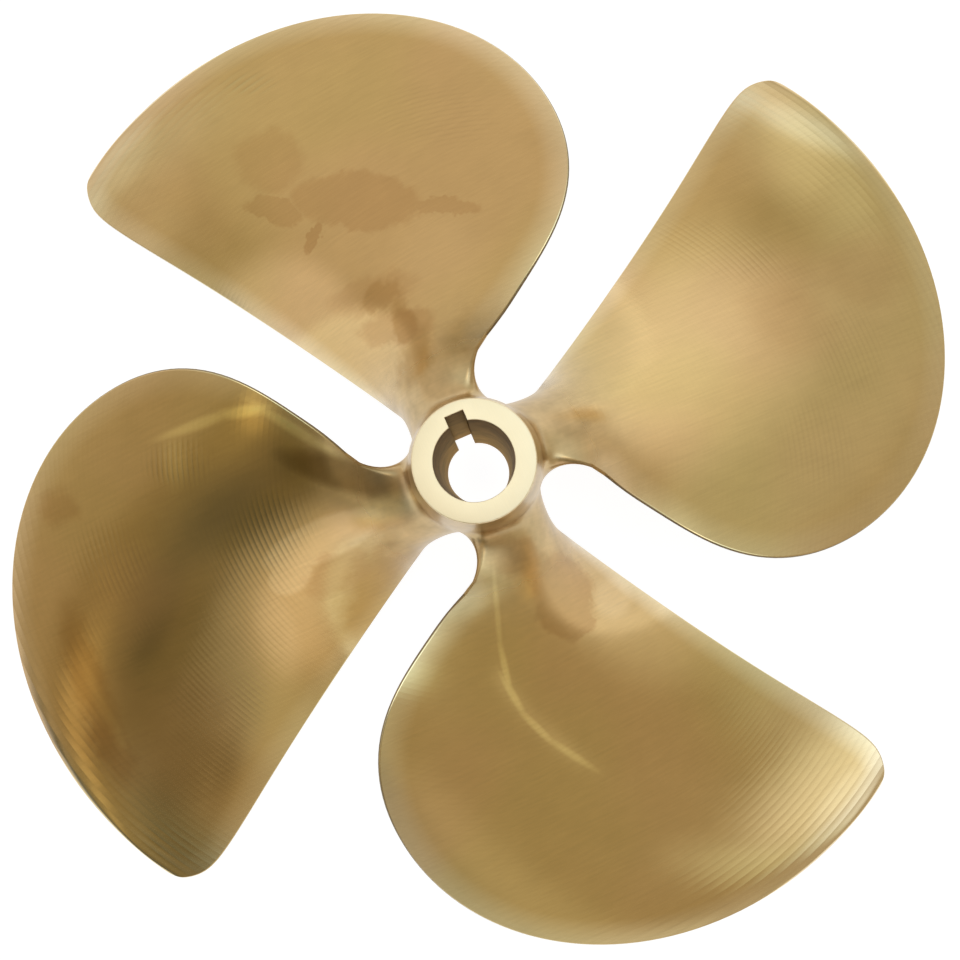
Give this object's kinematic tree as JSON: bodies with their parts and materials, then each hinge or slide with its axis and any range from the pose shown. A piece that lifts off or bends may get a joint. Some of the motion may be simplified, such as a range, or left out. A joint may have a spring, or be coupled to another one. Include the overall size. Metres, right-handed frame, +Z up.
{
  "type": "ship propeller",
  "caption": "Ship propeller cast in one piece: broad blades on a barrel hub with a tapered, keyed bore. It drives a boat when its shaft turns.",
  "frame": {"origin": "on the floor under the shaft axis, with the propeller lying on its trailing edges", "axes": "+Z up along the shaft axis towards the forward hub face, +Y through the keyway"},
  "size_m": [0.6898, 0.6898, 0.1501],
  "materials": {
    "bronze": "satin machined bronze"
  },
  "bodies": {
    "root": {"propeller": "bronze"}
  },
  "joints": []
}
